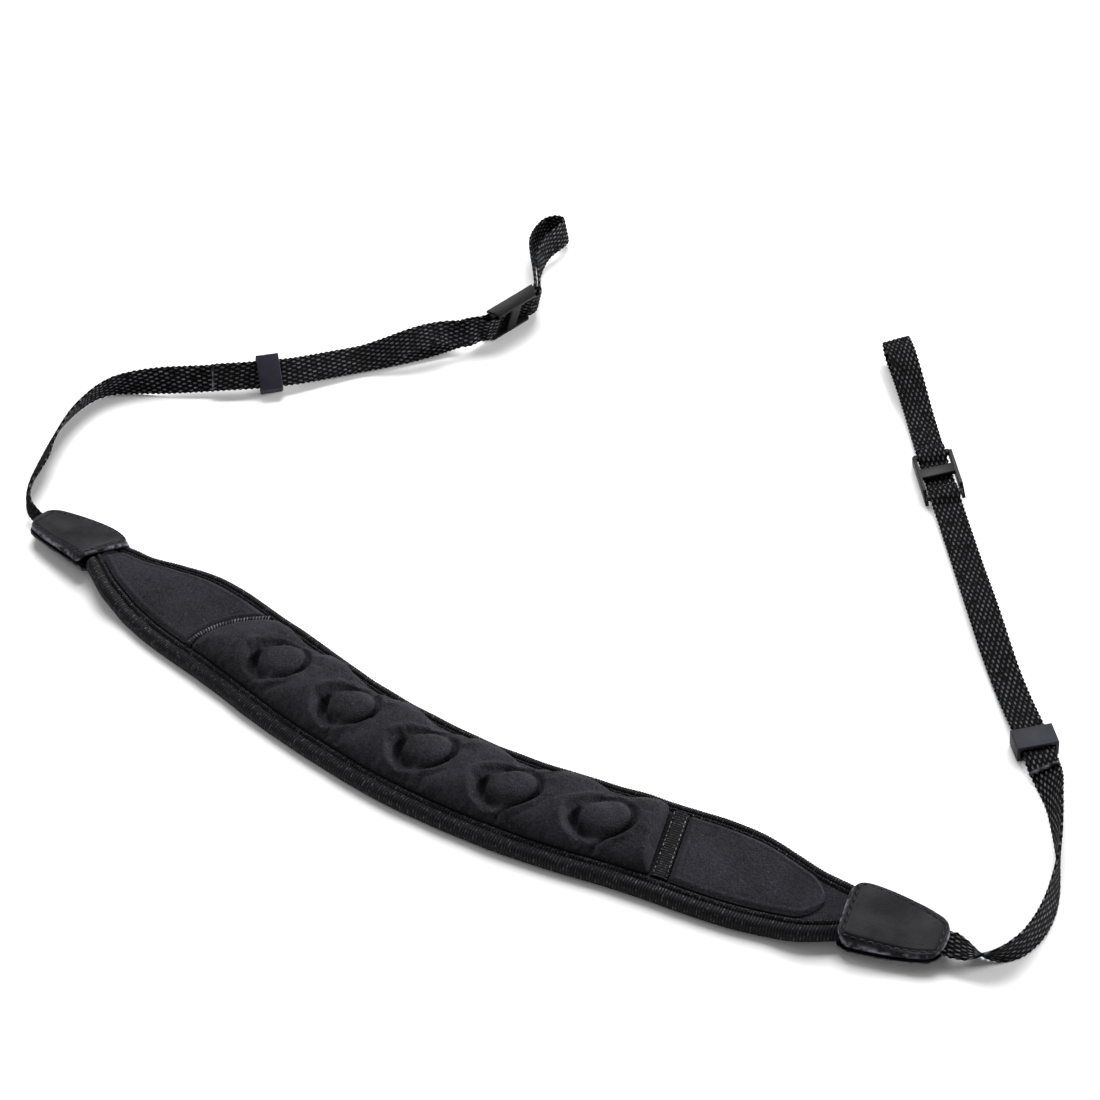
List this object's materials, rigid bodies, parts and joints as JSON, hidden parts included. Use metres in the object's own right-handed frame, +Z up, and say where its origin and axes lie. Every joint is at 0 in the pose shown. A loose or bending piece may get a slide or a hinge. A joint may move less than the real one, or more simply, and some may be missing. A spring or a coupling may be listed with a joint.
{
  "type": "camera neck strap",
  "caption": "Padded neck strap for a camera: bound neoprene pad with a buttoned cushion, leather end tabs, and woven bands through keepers and slide buckles into lug loops.",
  "frame": {"origin": "middle of the laid-out strap's outline, on the surface that it rests on", "axes": "+Z up from the surface, X to the right and Y away from the front; the neck pad lies at the front and both lug loops at the back"},
  "size_m": [0.3566, 0.3834, 0.0157],
  "materials": {
    "neoprene_knit": "matte charcoal knit laminated to neoprene foam",
    "grosgrain_binding": "black ribbed tape with a satin sheen",
    "overcast_thread": "charcoal sewing thread, overcast",
    "soft_leather": "soft dark grey leather, semi-matte",
    "nylon_webbing": "coarse black woven webbing with grey glints",
    "keeper_plastic": "grey-violet moulded plastic, satin",
    "buckle_plastic": "black moulded plastic, satin"
  },
  "bodies": {
    "root": {"pad_base": "neoprene_knit", "binding_near": "grosgrain_binding", "binding_far": "grosgrain_binding", "cushion_panel": "neoprene_knit", "wing_panel_left": "neoprene_knit", "wing_panel_right": "neoprene_knit", "end_seam_left": "overcast_thread", "cross_tape_right": "grosgrain_binding", "tab_top_left": "soft_leather", "tab_bottom_left": "soft_leather", "tab_top_right": "soft_leather", "tab_bottom_right": "soft_leather", "webbing_left": "nylon_webbing", "webbing_right": "nylon_webbing", "keeper_left": "keeper_plastic", "keeper_right": "keeper_plastic", "buckle_left": "buckle_plastic", "buckle_right": "buckle_plastic"}
  },
  "joints": []
}
